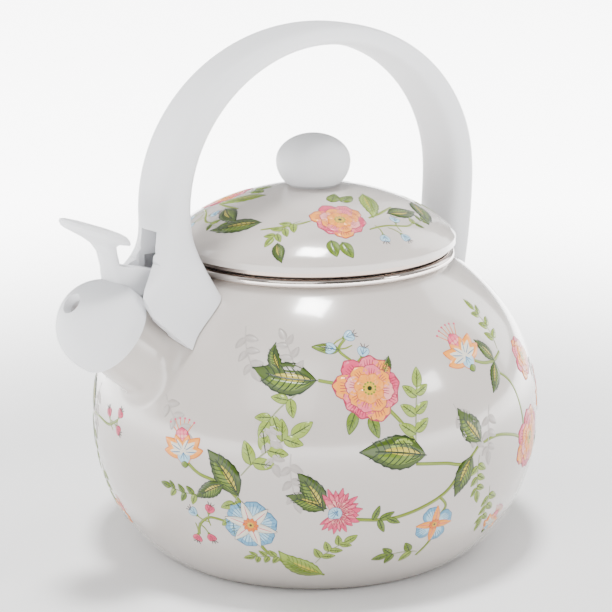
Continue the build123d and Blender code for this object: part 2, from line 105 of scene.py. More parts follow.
enamel = material("enamel", (0.510, 0.465, 0.430), 0.22, coat=0.8, coat_rough=0.09,
                  grain=90, bump=0.10, bump_mm=0.03, tint=0.012, rough_swing=0.02)
soft_touch = material("soft_touch", (0.70, 0.705, 0.722), 0.52,
                      grain=2600, bump=0.25, bump_mm=0.01, tint=0.012, rough_swing=0.06, spec=0.35)
# Same soft-touch finish as the handle, its colour painted darker as shade on the knob
knob_touch_painted_shade = material("knob_touch_painted_shade", (0.56, 0.562, 0.575), 0.50,
                      grain=2600, bump=0.25, bump_mm=0.01, tint=0.012, rough_swing=0.06, spec=0.35)
bright_steel = material("bright_steel", (0.62, 0.56, 0.52), 0.13, metal=1.0,
                        grain=300, bump=0.05, bump_mm=0.005, tint=0.05, stretch=(1, 1, 30))
# Darker copy of bright_steel for the lid rim: painted shade and dark reflection of the recess under the lid's
# edge
painted_shade_steel = material("painted_shade_steel", (0.30, 0.25, 0.22), 0.22, metal=1.0,
                        grain=300, bump=0.05, bump_mm=0.005, tint=0.08, stretch=(1, 1, 30))
dull_steel = material("dull_steel", (0.62, 0.62, 0.63), 0.42, metal=0.85,
                      grain=500, bump=0.2, bump_mm=0.006, tint=0.08, stretch=(1, 12, 1), rough_swing=0.1)
plate_metal = material("plate_metal", (0.62, 0.46, 0.40), 0.32, metal=1.0,
                       grain=700, bump=0.15, bump_mm=0.006, tint=0.10, rough_swing=0.1)
silicone = material("silicone", (0.40, 0.39, 0.39), 0.55, grain=1400, bump=0.2, bump_mm=0.008, tint=0.05)

FINISH = {
    enamel: ("kettle_body", "spout", "lid_dome"),
    bright_steel: ("mouth_rim",),
    painted_shade_steel: ("lid_rim",),
    dull_steel: ("lid_collar", "front_bracket", "rear_bracket", "handle_screws", "hinge_pin",
                 "return_spring", "knob_washer", "knob_screw"),
    soft_touch: ("handle", "whistle_cap", "whistle_retainer"),
    knob_touch_painted_shade: ("knob",),
    plate_metal: ("knob_insert", "whistle_plate_front", "whistle_plate_rear"),
    silicone: ("knob_gasket", "whistle_spacer", "cap_seal"),
}
for finish, pieces in FINISH.items():
    for name in pieces:
        nodes[name].data.materials.clear()
        nodes[name].data.materials.append(finish)

INKS = {
    "leaf_dark": (0.010, 0.024, 0.002), "leaf": (0.045, 0.080, 0.004), "leaf_mid": (0.12, 0.19, 0.010),
    "leaf_light": (0.25, 0.34, 0.045), "leaf_gold": (0.46, 0.38, 0.03), "stem": (0.18, 0.24, 0.02),
    "twig": (0.24, 0.27, 0.14), "pink_deep": (0.34, 0.012, 0.05), "pink": (0.62, 0.055, 0.13),
    "pink_soft": (0.72, 0.14, 0.20), "pink_pale": (0.78, 0.30, 0.28), "orange": (0.68, 0.15, 0.008),
    "orange_soft": (0.82, 0.29, 0.03), "gold": (0.58, 0.36, 0.015), "blue": (0.04, 0.14, 0.27),
    "blue_soft": (0.13, 0.33, 0.50), "blue_pale": (0.34, 0.54, 0.66), "cream": (0.66, 0.62, 0.52),
    "brown": (0.03, 0.012, 0.007), "ghost": (0.400, 0.363, 0.338),
}
INK_ORDER = list(INKS)
inks = [material(f"ink_{n}", INKS[n], 0.30, coat=0.25, coat_rough=0.2, spec=0.35, grain=900,
                 bump=0.08, bump_mm=0.01, tint=0.10 if n != "ghost" else 0.02, rough_swing=0.03)
        for n in INK_ORDER]

# ---------------------------------------------------------------- surfaces the print lies on


# The globe of the body and the dome of the lid, in millimetres, as they are in the CAD
BODY_R, EQUATOR_Z, DOME_RISE, BOWL_DEPTH, BOWL_POWER = 100.0, 62.0, 83.4, 80.0, 2.43
PRINT_LOW_Z, PRINT_HIGH_Z, GLOBE_ROWS = 3.0, 128.5, 240
LID_R, LID_SPRING_Z, LID_RISE, LID_POWER_R, LID_POWER_Z = 62.8, 138.5, 23.2, 1.84, 1.37
PRINT_LID_R, DOME_ROWS = 62.6, 200


def meridian(profile):
    """Rows of (distance along the profile, radius, height) from its list of (radius, height)."""
    rows, s, last = [], 0.0, None
    for r, z in profile:
        if last:
            s += math.hypot(r - last[0], z - last[1])
        rows.append((s, r, z))
        last = (r, z)
    return rows


class Surface:
    """Surface of revolution, looked up by the distance along its meridian."""

    def __init__(self, rows):
        self.table = rows

    def at(self, s):
        """Radius, height and outward slope at a distance along the meridian."""
        rows = self.table
        low, high = 0, len(rows) - 1
        s = max(rows[0][0], min(rows[-1][0], s))
        while high - low > 1:
            mid = (low + high) // 2
            if rows[mid][0] <= s:
                low = mid
            else:
                high = mid
        a, b = rows[low], rows[high]
        t = (s - a[0]) / (b[0] - a[0])
        r, z = a[1] + (b[1] - a[1]) * t, a[2] + (b[2] - a[2]) * t
        dr, dz = b[1] - a[1], b[2] - a[2]
        n = math.hypot(dr, dz)
        return r, z, dz / n, -dr / n


class Globe(Surface):
    """Surface of the kettle's body, measured from the equator."""

    def __init__(self):
        heights = [PRINT_LOW_Z + (PRINT_HIGH_Z - PRINT_LOW_Z) * i / GLOBE_ROWS for i in range(GLOBE_ROWS + 1)]
        rows = meridian([(self.radius(z), z) for z in heights])
        zero = min(rows, key=lambda row: abs(row[2] - EQUATOR_Z))[0]
        super().__init__([(s - zero, r, z) for s, r, z in rows])

    @staticmethod
    def radius(z):
        if z >= EQUATOR_Z:
            return BODY_R * math.sqrt(1 - ((z - EQUATOR_Z) / DOME_RISE) ** 2)
        return BODY_R * (1 - ((EQUATOR_Z - z) / BOWL_DEPTH) ** BOWL_POWER) ** (1 / BOWL_POWER)

    def along(self, z):
        """Distance along the meridian at a height."""
        return min(self.table, key=lambda row: abs(row[2] - z))[0]

    def spot(self, anchor, x, y, lift):
        """Point in space for a flat point about an anchor of (azimuth, distance)."""
        phi0, s0 = anchor
        r, z, nr, nz = self.at(s0 + y)
        r0 = self.at(s0)[0]
        phi = math.radians(phi0) + x / (0.5 * r + 0.5 * r0)
        rr = r + nr * lift
        return Vector((rr * math.cos(phi), rr * math.sin(phi), z + nz * lift)) * mm


class Dome(Surface):
    """Surface of the lid, laid out flat around its centre."""

    def __init__(self):
        radii = [PRINT_LID_R * i / DOME_ROWS for i in range(DOME_ROWS + 1)]
        super().__init__(meridian([(r, self.height(r)) for r in radii]))

    @staticmethod
    def height(r):
        return LID_SPRING_Z + LID_RISE * (1 - (r / LID_R) ** LID_POWER_R) ** (1 / LID_POWER_Z)

    def spot(self, anchor, x, y, lift):
        """Point in space for a flat point about an anchor of (x, y)."""
        px, py = anchor[0] + x, anchor[1] + y
        rho = math.hypot(px, py)
        r, z, nr, nz = self.at(rho)
        up = 1 if nz > 0 else -1
        rr = r + up * nr * lift
        cx, cy = (px / rho, py / rho) if rho > 1e-6 else (1.0, 0.0)
        return Vector((rr * cx, rr * cy, z + up * nz * lift)) * mm


# ---------------------------------------------------------------- drawing kit

# The print stands this far proud of the enamel, one step more for each layer, and reaches down into it
PRINT_PROUD, PRINT_STEP, PRINT_SUNK = 0.035, 0.012, -0.12
LINE_WEIGHT = 0.68


def polar(degrees, reach, x=0.0, y=0.0):
    """Flat point at an angle and a reach from (x, y)."""
    angle = math.radians(degrees)
    return x + math.cos(angle) * reach, y + math.sin(angle) * reach


class Print:
    """Collects thin printed shapes on one surface and turns them into one mesh."""

    def __init__(self, surface):
        self.surface = surface
        self.verts, self.faces, self.slots = [], [], []
        self.layer = 0

    def grid(self, rows, ink, level):
        """Closed thin sheet over a grid of flat points, each (anchor, x, y)."""
        n, m = len(rows), len(rows[0])
        top, low = PRINT_PROUD + PRINT_STEP * level, PRINT_SUNK
        base = len(self.verts)
        for lift in (top, low):
            for row in rows:
                for anchor, x, y in row:
                    self.verts.append(self.surface.spot(anchor, x, y, lift))
        slot = INK_ORDER.index(ink)

        def v(side, i, j):
            return base + side * n * m + i * m + j

        quads = []
        for i in range(n - 1):
            for j in range(m - 1):
                quads.append((v(0, i, j), v(0, i, j + 1), v(0, i + 1, j + 1), v(0, i + 1, j)))
                quads.append((v(1, i, j), v(1, i + 1, j), v(1, i + 1, j + 1), v(1, i, j + 1)))
        rim = [(0, j) for j in range(m)] + [(i, m - 1) for i in range(1, n)]
        rim += [(n - 1, j) for j in range(m - 2, -1, -1)] + [(i, 0) for i in range(n - 2, 0, -1)]
        for a, b in zip(rim, rim[1:] + rim[:1]):
            quads.append((v(0, *b), v(0, *a), v(1, *a), v(1, *b)))
        self.faces += quads
        self.slots += [slot] * len(quads)

    def build(self, name, body):
        """Mesh object of everything drawn, riding on one body."""
        mesh = bpy.data.meshes.new(name)
        mesh.from_pydata(self.verts, [], self.faces)
        for ink in inks:
            mesh.materials.append(ink)
        mesh.polygons.foreach_set("material_index", self.slots)
        mesh.polygons.foreach_set("use_smooth", [True] * len(self.faces))
        mesh.update()
        obj = bpy.data.objects.new(name, mesh)
        bpy.context.scene.collection.objects.link(obj)
        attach(obj, body)


class Pen:
    """Draws in millimetres about an anchor on a print, turned and scaled."""

    def __init__(self, sheet, anchor, turn=0.0, size=1.0):
        self.sheet, self.anchor, self.size = sheet, anchor, size
        self.c, self.s = math.cos(math.radians(turn)), math.sin(math.radians(turn))

    def p(self, x, y):
        """Anchor and flat offsets of a point drawn at (x, y)."""
        x, y = x * self.size, y * self.size
        return self.anchor, x * self.c - y * self.s, x * self.s + y * self.c

    def ribbon(self, spine, widths, ink, level, across=1):
        """Ribbon along a spine of points with a half width at each."""
        rows = []
        for i, (x, y) in enumerate(spine):
            a, b = spine[max(0, i - 1)], spine[min(len(spine) - 1, i + 1)]
            dx, dy = b[0] - a[0], b[1] - a[1]
            n = math.hypot(dx, dy) or 1.0
            nx, ny = -dy / n, dx / n
            w = widths[i]
            rows.append([self.p(x + nx * w * (1 - 2 * k / across), y + ny * w * (1 - 2 * k / across))
                         for k in range(across + 1)])
        self.sheet.grid(rows, ink, level)

    def stroke(self, points, width, ink, level, steps=8):
        """Smooth line through points, finer at both ends."""
        spine = smooth(points, steps)
        n = len(spine) - 1
        widths = [width * LINE_WEIGHT * (0.35 + 0.65 * math.sin(math.pi * (0.12 + 0.76 * i / n)))
                  for i in range(n + 1)]
        self.ribbon(spine, widths, ink, level)

    def ray(self, degrees, near, far, width, ink, level, steps=2):
        """Straight line between two distances from the anchor."""
        self.stroke([polar(degrees, near), polar(degrees, far)], width, ink, level, steps)

    def petal(self, angle, start, length, width, ink, level, blunt=0.5, bend=0.0, edge=None,
              grow=0.30, across=3):
        """Petal from a point out along an angle; blunt moves its widest part towards the tip."""
        a = math.radians(angle)
        steps = 8
        spine, widths = [], []
        for i in range(steps + 1):
            t = i / steps
            off = bend * length * t * t
            x = start[0] + math.cos(a) * length * t - math.sin(a) * off
            y = start[1] + math.sin(a) * length * t + math.cos(a) * off
            spine.append((x, y))
            bulge = math.sin(math.pi * t ** (0.5 + blunt)) ** (0.9 - 0.45 * blunt) if t < 1 else 0.0
            widths.append(max(0.06, width * bulge))
        if edge:
            ux, uy = math.cos(a), math.sin(a)
            wide = [(x + ux * grow * (2 * i / steps - 1), y + uy * grow * (2 * i / steps - 1))
                    for i, (x, y) in enumerate(spine)]
            self.ribbon(wide, [w + grow for w in widths], edge, level, across)
        self.ribbon(spine, widths, ink, level + (0.5 if edge else 0), across)

    def disc(self, x, y, r, ink, level):
        """Round dot."""
        rows = []
        for i in range(5):
            t = math.sin((-1 + 2 * i / 4) * math.pi / 2)
            w = math.sqrt(max(0.0, 1 - t * t)) * r + 0.02
            rows.append([self.p(x + w * (1 - 2 * k / 4), y + r * t) for k in range(5)])
        self.sheet.grid(rows, ink, level)


def smooth(points, steps):
    """Catmull-Rom curve through the points."""
    if len(points) == 2:
        (ax, ay), (bx, by) = points
        return [(ax + (bx - ax) * i / steps, ay + (by - ay) * i / steps) for i in range(steps + 1)]
    pts = [points[0]] + list(points) + [points[-1]]
    out = []
    for p0, p1, p2, p3 in zip(pts, pts[1:], pts[2:], pts[3:]):
        for i in range(steps):
            t = i / steps
            spot = []
            for a, b, c, d in zip(p0, p1, p2, p3):
                square, cube = 2 * a - 5 * b + 4 * c - d, 3 * b - a - 3 * c + d
                spot.append(0.5 * (2 * b + (c - a) * t + square * t * t + cube * t ** 3))
            out.append(tuple(spot))
    out.append(tuple(points[-1]))
    return out


# ---------------------------------------------------------------- motifs


def big_leaf(pen, length=27.0, width=5.4, curl=0.18, inks3=("leaf_dark", "leaf", "leaf_gold")):
    """Dark leaf with a golden heart, notched edge, raked veins and a curled tip, pointing along +x."""
    edge, fill, rib = inks3
    steps = 22
    share = [i / steps for i in range(steps + 1)]
    spine = [(length * t, curl * length * (t ** 2.6) - 0.35 * curl * length * t) for t in share]
    body = [max(0.08, width * math.sin(math.pi * t ** 0.80) ** 1.05) for t in share]
    notch = [0.25 * (i % 3) if 0.12 < t < 0.85 else 0.0 for i, t in enumerate(share)]
    pen.ribbon(spine, [w + 0.2 + n for w, n in zip(body, notch)], edge, 2, 4)
    pen.ribbon(spine[:-1], [max(0.06, w - 0.3) for w in body[:-1]], fill, 3, 4)
    for first, last, aside, share_of, ink, level in ((2, 17, 0.40, 0.34, "leaf_mid", 4),
                                                     (1, 15, -0.10, 0.26, rib, 5)):
        rows = range(first, last)
        start = first - 1 if aside > 0 else 0
        wave = [math.sin(math.pi * (i - start) / last) for i in rows]
        pen.ribbon([(spine[i][0], spine[i][1] + body[i] * aside) for i in rows],
                   [max(0.05, body[i] * share_of * w) for i, w in zip(rows, wave)], ink, level, 2)
    for i in range(2, 18, 2):
        x, y = spine[i]
        for rise in (-body[i], body[i]):
            vein = [(x - 0.6, y), (x + 1.2, y + rise * 0.5), (x + 3.2, y + rise * 0.84)]
            pen.stroke(vein, 0.36, edge, 6, 3)
    pen.stroke([(-0.6, 0.0)] + spine[2:20:3], 0.55, edge, 7, 2)


LEAF_TONES = (("leaf_mid", "leaf"), ("leaf_light", "leaf_mid"), ("leaf_gold", "leaf_mid"), ("ghost", "ghost"))
GHOST = 3


def small_leaf(pen, angle, x, y, length=7.0, width=1.9, tone=0):
    """Light leaf with a fine midrib."""
    fill, edge = LEAF_TONES[tone]
    pen.petal(angle, (x, y), length, width, fill, 2, 0.25, 0.06, edge, 0.2, 2)
    if tone == GHOST:
        return
    tip_x, tip_y = polar(angle, length * 0.86, x, y)
    pen.stroke([(x, y), (tip_x, tip_y + 0.2)], 0.34, "leaf_dark", 5, 4)
    rake = math.degrees(0.7)
    for t in (0.35, 0.55):
        middle = polar(angle, length * t, x, y)
        for side in (-rake, rake):
            pen.stroke([middle, polar(angle + side, width, *middle)], 0.2, edge, 5, 2)


def sprig(pen, length=20.0, pairs=3, leaf=7.0, tone=0, bend=0.25):
    """Thin curving twig along +x with paired leaves and one at the tip."""
    spine = [(length * t, bend * length * t * t) for t in (0, 0.25, 0.5, 0.75, 1.0)]
    pen.stroke(spine, 0.5, "ghost" if tone == GHOST else "twig", 1, 5)
    for k in range(pairs):
        t = 0.25 + 0.6 * k / max(1, pairs - 1)
        x, y = length * t, bend * length * t * t
        heading = math.degrees(math.atan2(2 * bend * t, 1))
        size = leaf * (1.0 - 0.18 * k / pairs)
        upper = tone if k % 2 or tone == GHOST else 1
        small_leaf(pen, heading + 58, x, y, size, size * 0.27, upper)
        small_leaf(pen, heading - 52, x + 1.0, y, size * 0.92, size * 0.25, tone)
    heading = math.degrees(math.atan2(2 * bend, 1))
    small_leaf(pen, heading, *spine[-1], leaf, leaf * 0.27, tone)


def peony(pen, radius=14.2):
    """Layered bloom: pink outer ring, orange middle ring, golden heart."""
    rnd = random.Random(7)
    for k in range(9):
        a = 40 * k + rnd.uniform(-8, 8)
        ink = ("pink", "pink_soft", "orange_soft")[(k * 2) % 3]
        length, width = radius * rnd.uniform(0.86, 1.06), radius * rnd.uniform(0.30, 0.38)
        pen.petal(a, (0, 0), length, width, ink, 4, 1.0, rnd.uniform(-0.08, 0.08), "pink_deep", 0.34, 4)
        for d in (-9, -3, 3, 9):
            pen.ray(a + d, radius * 0.5, radius * 0.84, 0.28, "pink_deep", 6)
    for k in range(8):
        a = 45 * k + 18 + rnd.uniform(-6, 6)
        ink = ("orange_soft", "pink_soft", "orange_soft", "pink_pale")[k % 4]
        length, bend = radius * rnd.uniform(0.66, 0.74), rnd.uniform(-0.1, 0.06)
        pen.petal(a, (0, 0), length, radius * 0.27, ink, 7, 1.0, bend, "pink_deep", 0.26, 4)
        for d in (-8, 0, 8):
            pen.ray(a + d, radius * 0.3, radius * 0.58, 0.26, "pink_deep", 9)
    for k in range(7):
        a = 360 / 7 * k + rnd.uniform(-6, 6)
        pen.petal(a, (0, 0), radius * 0.44, radius * 0.17, "orange_soft", 10, 0.9, 0, "orange", 0.26, 2)
    pen.disc(0, 0, radius * 0.2, "gold", 12)
    for k in range(12):
        pen.disc(*polar(30 * k, radius * 0.17), 0.42, "leaf_mid", 13)
    pen.disc(0, 0, radius * 0.07, "leaf_dark", 14)


# Outer petals of the lotus: angle, length and half width as shares of its size
LOTUS_PETALS = ((28, 0.98, 0.27), (152, 0.98, 0.27), (-2, 0.9, 0.25), (182, 0.9, 0.25), (58, 0.74, 0.2),
                (122, 0.74, 0.2))


def lotus(pen, size=10.0):
    """Side view of an open bloom: pointed petals round a scaled red heart, with a tuft of stamens."""
    for d in (-34, -20, -8, 5, 18, 32):
        tip = polar(90 + d, size * 1.05)
        pen.stroke([(0, size * 0.2), tip], 0.3, "orange", 2, 4)
        pen.disc(*tip, 0.5, "pink", 3)
    pen.petal(90, (0, -size * 0.1), size * 0.78, size * 0.32, "pink", 4, 0.7, 0, "pink_deep", 0.2, 3)
    for row in range(3):
        ink = "pink_pale" if row % 2 else "pink_soft"
        for col in range(-1, 2):
            pen.disc(col * size * 0.17, size * (0.18 + 0.16 * row), size * 0.075, ink, 6)
    for a, long, wide in LOTUS_PETALS:
        side = 1 if a < 90 else -1
        pen.petal(a, (0, -size * 0.3), size * long, size * wide, "orange_soft", 7, 0.25, 0.12 * side,
                  "orange", 0.24, 3)
        pen.petal(a, (0, -size * 0.28), size * long * 0.72, size * wide * 0.55, "cream", 9, 0.25, 0.1 * side)
        heart = (0, -size * 0.28)
        pen.stroke([polar(a, 1.5, *heart), polar(a, size * 0.6, *heart)], 0.3, "blue", 11, 3)
    pen.petal(-90, (0, -size * 0.2), size * 0.62, size * 0.3, "blue_pale", 8, 0.4, 0, "orange", 0.22, 3)
    for d in (-16, 0, 16):
        pen.stroke([(0, -size * 0.3), polar(-90 + d, size * 0.6)], 0.26, "blue", 11, 3)
    foot = (0, -size * 0.66)
    pen.petal(-90, foot, size * 0.26, size * 0.15, "leaf_mid", 12, 0.4, 0, "leaf_dark", 0.18, 2)


def blue_bloom(pen, radius=11.5, points=6, rounds=6, point_ink="cream"):
    """Rounded blue petals behind pointed pale ones, with an orange eye."""
    for k in range(rounds):
        a = 360 / rounds * k + 14
        pen.petal(a, (0, 0), radius, radius * 0.44, "blue_soft", 3, 1.0, 0, "blue", 0.2, 4)
        pen.petal(a, (0, 0), radius * 0.82, radius * 0.3, "blue_pale", 4, 1.0, 0)
        for d in (-14, -5, 5, 14):
            pen.ray(a + d, radius * 0.5, radius * 0.93, 0.24, "blue", 6)
    outline = "brown" if point_ink == "cream" else "orange"
    for k in range(points):
        a = 360 / points * k - 16
        pen.petal(a, (0, 0), radius * 0.98, radius * 0.19, point_ink, 7, 0.15, 0.05, outline, 0.12, 3)
        pen.ray(a, 0, radius * 0.78, 0.28, "pink", 9, 3)
    for k in range(10):
        pen.petal(36 * k, (0, 0), radius * 0.3, radius * 0.08, "orange", 10, 0.6, 0, "pink_deep", 0.1, 2)
    pen.disc(0, 0, radius * 0.13, "gold", 12)
    pen.disc(0, 0, radius * 0.055, "brown", 13)


def carnation(pen, size=11.0):
    """Fringed pink bloom in side view, its calyx towards -x."""
    for ring, (reach, ink) in enumerate(((1.0, "pink"), (0.78, "pink_soft"), (0.52, "pink_pale"))):
        count = 11 - 2 * ring
        for k in range(count):
            a = -82 + 164 * k / (count - 1) + 3 * ring
            length = size * reach * (1.0 if k % 2 else 0.88)
            pen.petal(a, (-size * 0.1, 0), length, size * 0.115, ink, 3 + 2 * ring, 0.45,
                      0.05 if a > 0 else -0.05, "pink_deep", 0.13, 2)
            pen.ray(a, 0, size * reach * 0.7, 0.22, "pink_deep", 8, 3)
    pen.petal(180, (size * 0.1, 0), size * 0.55, size * 0.24, "blue_pale", 9, 0.4, 0, "blue", 0.18, 3)
    for d in (-18, 0, 18):
        pen.ray(180 + d, 0, size * 0.4, 0.24, "blue", 11, 3)


def bell(pen, size=3.6, inks2=("blue_pale", "blue")):
    """Small nodding bud on a curved stalk, opening along +x."""
    fill, line = inks2
    pen.stroke([(-size * 1.5, -size * 0.5), (-size * 0.8, -size * 0.1), (0, 0)], 0.5, "stem", 1, 4)
    pen.disc(0, 0, size * 0.2, "leaf_mid", 3)
    for d in (-24, 24, 0):
        pen.petal(d, (0, 0), size, size * 0.3, fill, 3, 0.8, 0, line, 0.14, 2)
        pen.stroke([(size * 0.2, 0), polar(d, size * 0.85)], 0.22, line, 6, 3)
    for d in (-16, 0, 16):
        c, s = polar(d, 1.0)
        pen.stroke([(size * 0.85, s), (c * size * 1.35, s * size * 1.5)], 0.24, "brown", 5, 3)


def vine(sheet, surface, stops, width=1.15):
    """Long stem over the surface through (azimuth, height) stops."""
    flat = [(phi, surface.along(z)) for phi, z in stops]
    spine = smooth(flat, 10)
    mid = spine[len(spine) // 2]
    r = surface.at(mid[1])[0]
    local = []
    for phi, s in spine:
        rr = 0.5 * (surface.at(s)[0] + surface.at(mid[1])[0])
        local.append((math.radians(phi - mid[0]) * rr, s - mid[1]))
    pen = Pen(sheet, mid)
    n = len(local) - 1
    pen.ribbon(local, [width * 0.5 + 0.16] * (n + 1), "leaf_mid", 0, 1)
    pen.ribbon(local, [width * 0.5 - 0.1] * (n + 1), "stem", 1, 1)


# ---------------------------------------------------------------- the print on the body
PINK_BELL, BLUE_BELL = ("pink", "pink_deep"), ("blue_pale", "blue")
globe = Globe()
body_print = Print(globe)


def garland(shift, edge=True):
    """One repeat of the body's pattern: blooms on branching stems, with sprigs between them."""

    def at(phi, z, turn=0.0, size=1.0):
        return Pen(body_print, (shift + phi, globe.along(z)), turn, size)

    def line(*stops, width=1.15):
        vine(body_print, globe, [(shift + phi, z) for phi, z in stops], width)

    line((-127.5, 98.0), (-122, 96.5), (-115, 94.5))
    line((-113, 91), (-107, 80), (-102.5, 66.5), width=1.3)
    line((-104, 62.5), (-96, 60.5), (-90, 58.5), (-85, 64.5))
    line((-90, 58.5), (-96, 47), (-108, 40), (-118, 40.5), (-124, 43.5), width=1.3)
    line((-119, 100), (-118, 104), (-121.5, 108.5), (-119.5, 112.5), width=0.9)
    line((-118.2, 102.5), (-115.5, 105.5), width=0.8)
    line((-84.5, 102), (-79, 96.5), (-73, 95), (-68, 97), width=1.1)
    line((-161, 63), (-157, 58), (-151, 55), (-146.5, 48), (-145, 41), width=1.2)
    line((-143.5, 33), (-140.5, 24), (-134, 17.5), (-126, 12), width=1.2)
    line((-151, 38), (-155, 38.5), (-158, 34.5), (-159, 29), width=0.9)
    line((-97, 46), (-95, 41), (-97, 36), width=1.0)
    line((-96.5, 30), (-98, 24), (-100.5, 18), width=1.0)
    if edge:
        line((-74, 92), (-68, 84), (-65, 70), (-64, 60), width=1.0)
        line((-85, 64.5), (-78, 66), (-70, 62), (-64, 57), width=1.1)
    else:
        line((-85, 64.5), (-78, 66), (-71, 66), (-66, 70), width=0.9)

    peony(at(-114.4, 94.5, 12, 1.02))
    big_leaf(at(-128.0, 98.2, 176, 1.0), 27, 6.6, -0.16)
    big_leaf(at(-137.5, 101.5, 120, 0.62), 20, 4.2, -0.45)
    big_leaf(at(-101.5, 65.5, 168, 1.04), 28, 6.6, 0.10)
    big_leaf(at(-87.5, 60.5, 238, 0.74), 25, 6.0, 0.1)
    big_leaf(at(-84.5, 65.5, 128, 0.80), 25, 6.4, -0.1)
    big_leaf(at(-146.8, 50.5, 122, 0.84), 27, 6.4, 0.12)
    big_leaf(at(-150.5, 55.0, 208, 0.62), 25, 5.4, 0.06)
    big_leaf(at(-126.5, 45.5, 118, 0.80), 25, 5.8, 0.10)
    big_leaf(at(-125.8, 46.5, 158, 0.70), 25, 5.4, 0.08)
    big_leaf(at(-126.5, 12.6, 148, 0.86), 27, 5.8, -0.25, ("leaf_mid", "leaf_light", "leaf_gold"))
    big_leaf(at(-110.5, 98.5, 58, 0.42), 22, 5.2, 0.1)
    big_leaf(at(-72.5, 95.2, 118, 0.56), 24, 5.2, 0.1)
    big_leaf(at(-72.5, 94.6, 240, 0.60), 24, 5.4, -0.1)
    for turn, phi, z in ((248, -118.5, 86), (284, -114.8, 84)):
        small_leaf(at(phi, z), turn, 0, 0, 9.5, 2.3, 0)
    small_leaf(at(-121.5, 108.5), 168, 0, 0, 11, 2.2, 0)
    small_leaf(at(-104.8, 71.5), 178, 0, 0, 10, 2.5, 1)

    lotus(at(-161.5, 69.0, 8, 1.0), 10.5)
    lotus(at(-83.9, 103.0, 16, 1.08), 10.8)
    blue_bloom(at(-144.2, 37.6, 0, 1.0), 11.5)
    blue_bloom(at(-97.6, 33.4, 10, 0.86), 10.5, 4, 4, "orange_soft")
    carnation(at(-123.0, 45.6, 40, 0.95), 11.5)
    carnation(at(-123.0, 43.0, -62, 0.86), 11.0)
    if edge:
        peony(at(-59.0, 55.5, 40, 1.05), 14.5)
        peony(at(-55.0, 90.0, 80, 0.74), 14.0)
    else:
        for phi, z, turn in ((-65.5, 71.5, 60), (-66.5, 67.0, -30), (-70.5, 69.5, 110)):
            bell(at(phi, z, turn), 4.0, PINK_BELL)
    lotus(at(-73.5, 24.0, -30, 0.75), 10)

    for phi, z, turn in ((-119.6, 113.0, 18), (-122.3, 109.0, 172), (-115.2, 105.8, 70)):
        bell(at(phi, z, turn), 4.4)
    for phi, z, turn, pair in ((-155.0, 40.4, 72, PINK_BELL), (-158.6, 38.6, 140, BLUE_BELL),
                               (-159.5, 28.5, 250, PINK_BELL), (-156.0, 30.0, 292, PINK_BELL)):
        bell(at(phi, z, turn), 4.0, pair)
    for phi, z, turn in ((-114.5, 40.2, 64), (-112.8, 40.2, 20),
                         (-111.0, 40.0, -30), (-113.0, 39.6, -70)):
        small_leaf(at(phi, z), turn, 0, 0, 6.5, 1.3, 0)

    sprig(at(-132.5, 93.5, 214, 0.95), 17, 2, 8.0, 1, 0.2)
    sprig(at(-146.0, 59.5, 52, 1.12), 24, 3, 9.0, 1, -0.2)
    sprig(at(-104.0, 69.0, 88, 1.05), 24, 3, 8.0, 1, -0.12)
    sprig(at(-147.0, 50.5, 246, 0.9), 14, 2, 8.0, 1, 0.2)
    sprig(at(-156.0, 49.0, 196, 0.8), 20, 3, 6.4, 0, -0.3)
    sprig(at(-136.0, 22.0, 172, 0.75), 18, 3, 6.5, 1, 0.2)
    sprig(at(-128.5, 19.0, 62, 0.85), 19, 3, 7.0, 1, -0.3)
    sprig(at(-100.5, 20.5, 160, 0.9), 15, 2, 7.5, 0, 0.3)
    sprig(at(-85.0, 60.0, 262, 0.86), 19, 3, 6.5, 1, 0.15)
    sprig(at(-68.5, 98.0, 70, 0.86), 22, 3, 7.0, 1, 0.3)
    sprig(at(-80.0, 44.0, 280, 0.9), 18, 3, 7.0, 1, -0.2)
    for phi, z, turn in ((-150.0, 116.0, -80), (-139.0, 85.0, -96), (-133.0, 96.5, 96),
                         (-134.0, 70.0, -96), (-92.0, 84.0, -70), (-80.0, 80.0, -110), (-169.0, 88.0, -60)):
        sprig(at(phi, z, turn, 0.9), 22, 3, 6.5, GHOST, 0.2)


garland(0.0)
garland(-120.0, edge=False)
garland(-242.0)
body_print.build("body_print", "kettle")

# ---------------------------------------------------------------- the print on the lid
dome = Dome()
lid_print = Print(dome)


def lid_spray(turn_all):
    """One repeat of the lid's pattern, turned about the knob."""
    c, s = math.cos(math.radians(turn_all)), math.sin(math.radians(turn_all))

    def at(x, y, turn=0.0, size=1.0):
        return Pen(lid_print, (x * c - y * s, x * s + y * c), turn + turn_all, size)

    peony(at(-16.0, -38.5, -30, 0.88), 14.5)
    for x, y, turn in ((-9.5, -24.5, 40), (-5.5, -26.5, 20), (-28.0, -47.5, 245), (-24.5, -51.0, 262)):
        small_leaf(at(x, y, turn), 0, 0, 0, 9.0, 2.8, 0)
    stem = at(-3.0, -42.5, 8)
    stem.stroke([(0, 0), (9, 1), (19, 4)], 1.0, "stem", 1, 6)
    big_leaf(at(9.0, -41.0, 2, 0.74), 25, 5.4, 0.15)
    back = at(-27.0, -32.0, 150)
    back.stroke([(0, 0), (10, 1.5), (22, -1)], 1.0, "stem", 1, 6)
    sprig(at(-30.0, -29.0, 168, 0.85), 18, 3, 7.0, 1, 0.2)
    big_leaf(at(-42.0, -16.0, 128, 0.92), 27, 4.8, -0.10)
    fork = at(-8.0, -49.5, -12)
    fork.stroke([(0, 0), (9, 2), (21, 3), (27, 9)], 0.8, "stem", 1, 6)
    for x, y, turn in ((-4.0, -54.5, 250), (5.5, -56.0, 290), (8.0, -48.0, 60)):
        bell(at(x, y, turn), 4.2)
    sprig(at(15.0, -50.0, 8, 0.7), 17, 2, 7.0, 0, 0.25)
    big_leaf(at(-46.5, -33.0, 236, 0.5), 22, 5.4, 0.1)
    big_leaf(at(-24.0, 4.0, 122, 0.9), 26, 4.2, -0.1, ("leaf_mid", "leaf_light", "leaf_gold"))


for turn_all in (0, 124, 240):
    lid_spray(turn_all)
lid_print.build("lid_print", "lid")

